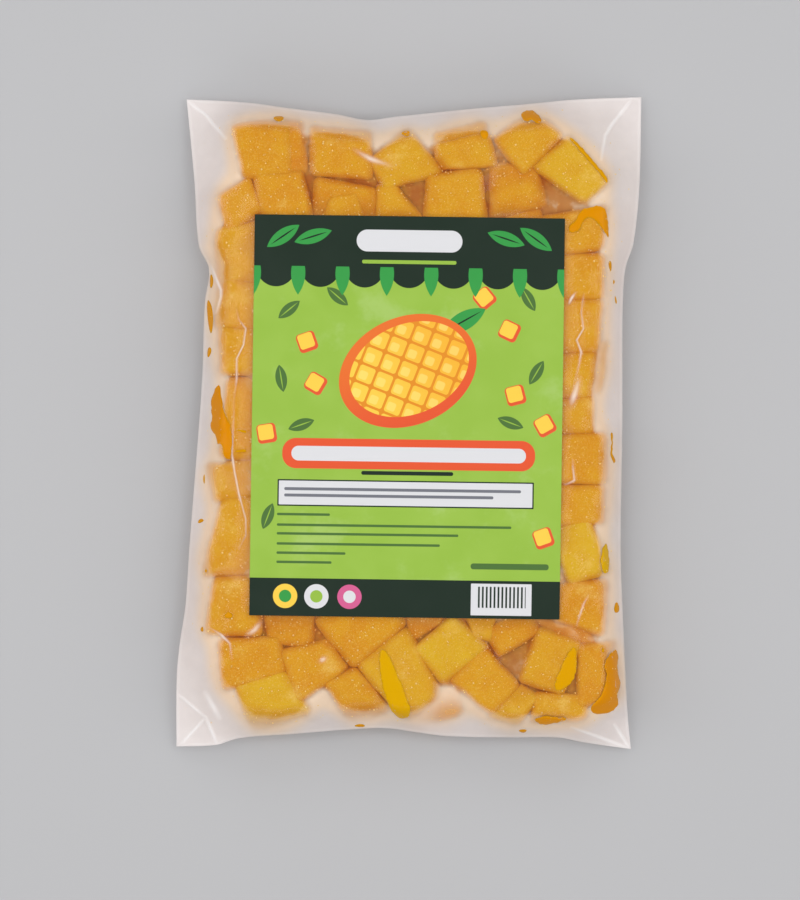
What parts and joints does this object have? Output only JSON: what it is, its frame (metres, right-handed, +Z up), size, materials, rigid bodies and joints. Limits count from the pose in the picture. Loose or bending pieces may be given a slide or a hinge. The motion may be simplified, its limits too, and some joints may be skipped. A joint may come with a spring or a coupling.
{
  "type": "sealed pouch of frozen mango chunks",
  "caption": "Flat clear pouch of frozen mango chunks with a printed front label, lying on its back, label up.",
  "frame": {"origin": "on the surface that the pouch lies on, under the middle of its outline", "axes": "+Z up, out of the label; +Y towards the head of the pouch; +X across it, to the right when the label is seen upright"},
  "size_m": [0.204, 0.286, 0.0316],
  "materials": {
    "pouch_film": "milky frosted film with a soft gloss",
    "label_print": "satin printed paper in light and dark green",
    "mango_flesh": "moist frozen mango flesh, orange yellow with pale frost"
  },
  "bodies": {
    "root": {"pouch": "pouch_film", "label": "label_print"}
  },
  "joints": []
}
